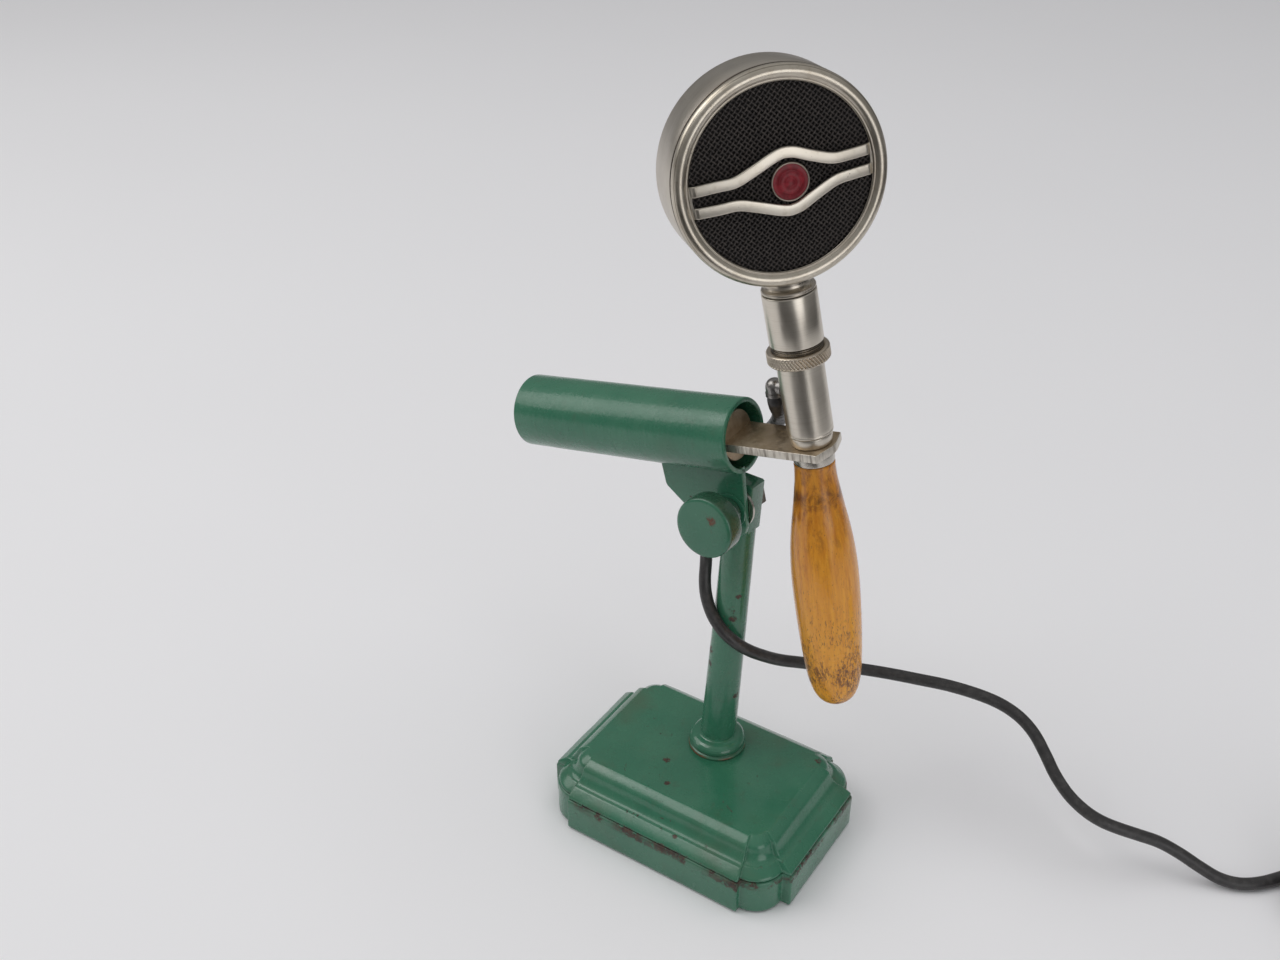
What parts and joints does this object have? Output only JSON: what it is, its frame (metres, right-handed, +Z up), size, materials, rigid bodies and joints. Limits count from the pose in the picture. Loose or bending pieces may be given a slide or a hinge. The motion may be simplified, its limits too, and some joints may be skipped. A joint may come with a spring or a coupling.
{
  "type": "microphone",
  "caption": "Round-headed hand microphone with a turned wooden handle, held by a rod in the tilting tube arm of a small cast desk stand, with its cord and plug.",
  "frame": {"origin": "centre of the base's underside, on the surface that the stand rests on", "axes": "+X along the base's long side, towards the microphone's side; +Y away from the side of the clamp knob; +Z up"},
  "size_m": [0.3925, 0.1751, 0.3198],
  "materials": {
    "enamel": "semi-gloss green enamel with chips and rust",
    "felt": "dense felt",
    "steel": "plain turned steel",
    "nickel": "worn satin nickel plate",
    "mesh": "woven, dark",
    "red_enamel": "glossy fired enamel",
    "wood": "amber varnish, worn",
    "fibre": "vulcanised fibre",
    "bakelite": "dark moulded resin",
    "contact_brass": "turned brass",
    "lead_cover": "cotton braid",
    "foil": "thin sheet",
    "capsule_metal": "cast and turned",
    "carbon": "dull black",
    "rubber": "black rubber, slightly bloomed",
    "tape": "waxed cotton tape"
  },
  "bodies": {
    "stand": {"felt_pad": "felt", "base_plinth": "enamel", "base_cover": "enamel", "base_screws": "steel", "post_flange": "enamel", "post": "enamel", "post_nut": "steel", "clamp_screw": "steel", "clamp_nut": "steel", "clamp_washer": "nickel", "cord_top": "rubber", "cord_run": "rubber", "cord_coil": "rubber", "cord_tie": "tape", "cord_tail": "rubber", "plug_boot": "rubber", "plug_shell": "nickel", "plug_insert": "bakelite", "plug_pins": "contact_brass"},
    "knob_washer_body": {"knob_washer": "steel"},
    "knob": {"clamp_knob": "enamel"},
    "arm": {"bracket_plate": "enamel", "arm_tube": "enamel", "friction_sleeve": "fibre", "tube_plug": "enamel"},
    "microphone": {"holder": "nickel", "lower_plug": "nickel", "lower_sleeve": "nickel", "socket_insulator": "bakelite", "socket_contacts": "contact_brass", "inner_leads": "lead_cover", "cord_elbow": "nickel", "cord_boot": "rubber", "handle_stud": "steel"},
    "nut_washer": {"union_washer": "contact_brass"},
    "coupling_nut": {"union_nut": "nickel"},
    "head": {"upper_sleeve": "nickel", "neck": "nickel", "neck_nut": "steel", "plug_insulator": "bakelite", "contact_pins": "contact_brass", "head_leads": "lead_cover", "head_shell": "nickel", "bezel": "nickel", "grille": "mesh", "guard_bars": "nickel", "badge_rim": "nickel", "badge_enamel": "red_enamel", "baffle": "steel", "clamp_ring": "steel", "diaphragm": "foil", "spacer_ring": "bakelite", "capsule_body": "capsule_metal", "carbon_button": "carbon", "back_screws": "nickel"},
    "handle_collar_body": {"handle_collar": "nickel"},
    "handle": {"wood_handle": "wood"}
  },
  "joints": [
    {"name": "arm_tilt", "type": "hinge", "parent": "stand", "child": "arm", "pos_m": [0.0004, 0.02385, 0.14545], "axis": [0.0349, 0.993, -0.1131], "range_deg": [-45, 8], "deforming": ["cord_top"]},
    {"name": "holder_roll", "type": "hinge", "parent": "arm", "child": "microphone", "pos_m": [0.00079, 0.02202, 0.17635], "axis": [0.9776, -0.0104, 0.2104], "range_deg": [-25, 25], "deforming": ["cord_boot"]},
    {"name": "knob_travel", "type": "slide", "parent": "stand", "child": "knob_washer_body", "axis": [-0.0349, -0.993, 0.1131], "range_m": [0, 0.012]},
    {"name": "knob_turn", "type": "hinge", "parent": "knob_washer_body", "child": "knob", "pos_m": [-0.0004, 0.00102, 0.14805], "axis": [-0.0349, -0.993, 0.1131], "range_deg": [0, 4320]},
    {"name": "nut_travel", "type": "slide", "parent": "microphone", "child": "nut_washer", "axis": [0.2106, 0.0214, -0.9773], "range_m": [0, 0.0024]},
    {"name": "nut_turn", "type": "hinge", "parent": "nut_washer", "child": "coupling_nut", "pos_m": [0.02155, 0.02094, 0.21814], "axis": [0.2106, 0.0214, -0.9773], "range_deg": [0, 1080]},
    {"name": "head_unplug", "type": "slide", "parent": "microphone", "child": "head", "axis": [-0.2106, -0.0214, 0.9773], "range_m": [0, 0.016]},
    {"name": "handle_travel", "type": "slide", "parent": "microphone", "child": "handle_collar_body", "axis": [0.1693, -0.0078, -0.9855], "range_m": [0, 0.02]},
    {"name": "handle_turn", "type": "hinge", "parent": "handle_collar_body", "child": "handle", "pos_m": [0.03304, 0.02161, 0.1608], "axis": [0.1693, -0.0078, -0.9855], "range_deg": [0, 7200]}
  ],
  "couplings": [
    {"joint": "knob_travel", "follows": "knob_turn", "m_per_rad": 0.00015915},
    {"joint": "nut_travel", "follows": "nut_turn", "m_per_rad": 0.00012732},
    {"joint": "handle_travel", "follows": "handle_turn", "m_per_rad": 0.00015915}
  ]
}
